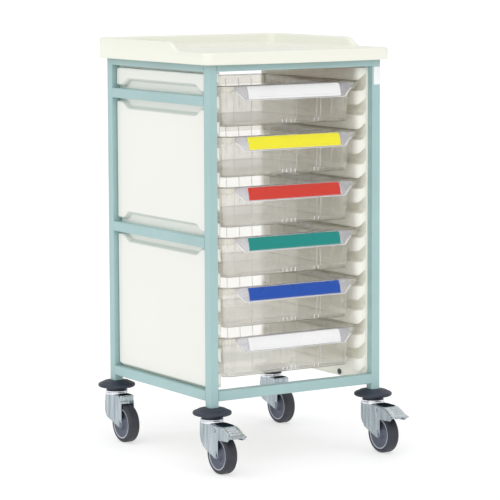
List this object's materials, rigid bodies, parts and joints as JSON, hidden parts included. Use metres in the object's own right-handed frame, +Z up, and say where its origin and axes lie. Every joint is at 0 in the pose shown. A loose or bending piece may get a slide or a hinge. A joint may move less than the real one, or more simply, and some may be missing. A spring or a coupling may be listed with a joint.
{
  "type": "tray trolley",
  "caption": "Square-tube trolley on swivel castors, with a moulded gallery worktop, side panels and clear pull-out trays on ridged runner liners.",
  "frame": {"origin": "on the floor, under the centre of the overall bounding box", "axes": "+Z up; the trays pull out towards -Y, which is the front; +X is the right-hand side seen from the front"},
  "size_m": [0.466, 0.527, 0.845],
  "materials": {
    "frame_paint": "satin powder coat, pale blue-green",
    "white_abs": "glossy moulded plastic, warm white",
    "panel_abs": "glossy formed sheet, warm white",
    "liner_abs": "semi-gloss formed sheet, warm white",
    "core_board": "raw board",
    "clear_tray": "clear moulded plastic",
    "label_white": "printed card under a clear film",
    "label_yellow": "printed card under a clear film",
    "label_red": "printed card under a clear film",
    "label_green": "printed card under a clear film",
    "label_blue": "printed card under a clear film",
    "bumper": "matt moulded plastic, dark slate",
    "zinc": "bright zinc plate",
    "zinc_fork": "bright zinc-plated pressing",
    "chrome": "polished steel",
    "dark_fastener": "dark green washer head",
    "wheel_grey": "moulded nylon, mid grey",
    "tyre": "matt dark grey rubber"
  },
  "bodies": {
    "root": {"post_front_left": "frame_paint", "post_front_right": "frame_paint", "post_rear_left": "frame_paint", "post_rear_right": "frame_paint", "rail_front_top": "frame_paint", "rail_front_bottom": "frame_paint", "rail_rear_top": "frame_paint", "rail_rear_bottom": "frame_paint", "rail_left_top": "frame_paint", "rail_left_upper": "frame_paint", "rail_left_middle": "frame_paint", "rail_left_bottom": "frame_paint", "rail_right_top": "frame_paint", "rail_right_upper": "frame_paint", "rail_right_middle": "frame_paint", "rail_right_bottom": "frame_paint", "worktop_shell": "white_abs", "worktop_core": "core_board", "worktop_screws": "zinc", "side_panel_left": "panel_abs", "side_panel_right": "panel_abs", "runner_liner_left": "liner_abs", "runner_liner_right": "liner_abs", "liner_screws": "dark_fastener", "castor_bumpers": "bumper", "castor_stems": "zinc", "kingpins": "zinc", "swivel_balls": "chrome"},
    "tray_body_1": {"tray_1": "clear_tray", "label_strip_1": "label_white"},
    "tray_body_2": {"tray_2": "clear_tray", "label_strip_2": "label_yellow"},
    "tray_body_3": {"tray_3": "clear_tray", "label_strip_3": "label_red"},
    "tray_body_4": {"tray_4": "clear_tray", "label_strip_4": "label_green"},
    "tray_body_5": {"tray_5": "clear_tray", "label_strip_5": "label_blue"},
    "tray_body_6": {"tray_6": "clear_tray", "label_strip_6": "label_white"},
    "castor_front_left": {"castor_fork_front_left": "zinc_fork", "axle_bolt_front_left": "zinc", "pedal_pin_front_left": "zinc"},
    "wheel_front_left": {"wheel_centre_front_left": "wheel_grey", "tyre_front_left": "tyre"},
    "pedal_front_left": {"brake_pedal_front_left": "zinc_fork"},
    "castor_front_right": {"castor_fork_front_right": "zinc_fork", "axle_bolt_front_right": "zinc", "pedal_pin_front_right": "zinc"},
    "wheel_front_right": {"wheel_centre_front_right": "wheel_grey", "tyre_front_right": "tyre"},
    "pedal_front_right": {"brake_pedal_front_right": "zinc_fork"},
    "castor_rear_left": {"castor_fork_rear_left": "zinc_fork", "axle_bolt_rear_left": "zinc"},
    "wheel_rear_left": {"wheel_centre_rear_left": "wheel_grey", "tyre_rear_left": "tyre"},
    "castor_rear_right": {"castor_fork_rear_right": "zinc_fork", "axle_bolt_rear_right": "zinc"},
    "wheel_rear_right": {"wheel_centre_rear_right": "wheel_grey", "tyre_rear_right": "tyre"}
  },
  "joints": [
    {"name": "tray_1_slide", "type": "slide", "parent": "root", "child": "tray_body_1", "axis": [0, -1, 0], "range_m": [0, 0.25]},
    {"name": "tray_2_slide", "type": "slide", "parent": "root", "child": "tray_body_2", "axis": [0, -1, 0], "range_m": [0, 0.25]},
    {"name": "tray_3_slide", "type": "slide", "parent": "root", "child": "tray_body_3", "axis": [0, -1, 0], "range_m": [0, 0.25]},
    {"name": "tray_4_slide", "type": "slide", "parent": "root", "child": "tray_body_4", "axis": [0, -1, 0], "range_m": [0, 0.25]},
    {"name": "tray_5_slide", "type": "slide", "parent": "root", "child": "tray_body_5", "axis": [0, -1, 0], "range_m": [0, 0.25]},
    {"name": "tray_6_slide", "type": "slide", "parent": "root", "child": "tray_body_6", "axis": [0, -1, 0], "range_m": [0, 0.25]},
    {"name": "swivel_front_left", "type": "hinge", "parent": "root", "child": "castor_front_left", "pos_m": [-0.194, -0.1595, 0.098], "axis": [0, 0, 1], "continuous": true},
    {"name": "spin_front_left", "type": "hinge", "parent": "castor_front_left", "child": "wheel_front_left", "pos_m": [-0.194, -0.197, 0.04], "axis": [1, 0, 0], "continuous": true},
    {"name": "brake_front_left", "type": "hinge", "parent": "castor_front_left", "child": "pedal_front_left", "pos_m": [-0.194, -0.1965, 0.088], "axis": [1, 0, 0], "range_deg": [0, 10]},
    {"name": "swivel_front_right", "type": "hinge", "parent": "root", "child": "castor_front_right", "pos_m": [0.194, -0.1595, 0.098], "axis": [0, 0, 1], "continuous": true},
    {"name": "spin_front_right", "type": "hinge", "parent": "castor_front_right", "child": "wheel_front_right", "pos_m": [0.194, -0.197, 0.04], "axis": [1, 0, 0], "continuous": true},
    {"name": "brake_front_right", "type": "hinge", "parent": "castor_front_right", "child": "pedal_front_right", "pos_m": [0.194, -0.1965, 0.088], "axis": [1, 0, 0], "range_deg": [0, 10]},
    {"name": "swivel_rear_left", "type": "hinge", "parent": "root", "child": "castor_rear_left", "pos_m": [-0.194, 0.2245, 0.098], "axis": [0, 0, 1], "continuous": true},
    {"name": "spin_rear_left", "type": "hinge", "parent": "castor_rear_left", "child": "wheel_rear_left", "pos_m": [-0.194, 0.187, 0.04], "axis": [1, 0, 0], "continuous": true},
    {"name": "swivel_rear_right", "type": "hinge", "parent": "root", "child": "castor_rear_right", "pos_m": [0.194, 0.2245, 0.098], "axis": [0, 0, 1], "continuous": true},
    {"name": "spin_rear_right", "type": "hinge", "parent": "castor_rear_right", "child": "wheel_rear_right", "pos_m": [0.194, 0.187, 0.04], "axis": [1, 0, 0], "continuous": true}
  ]
}
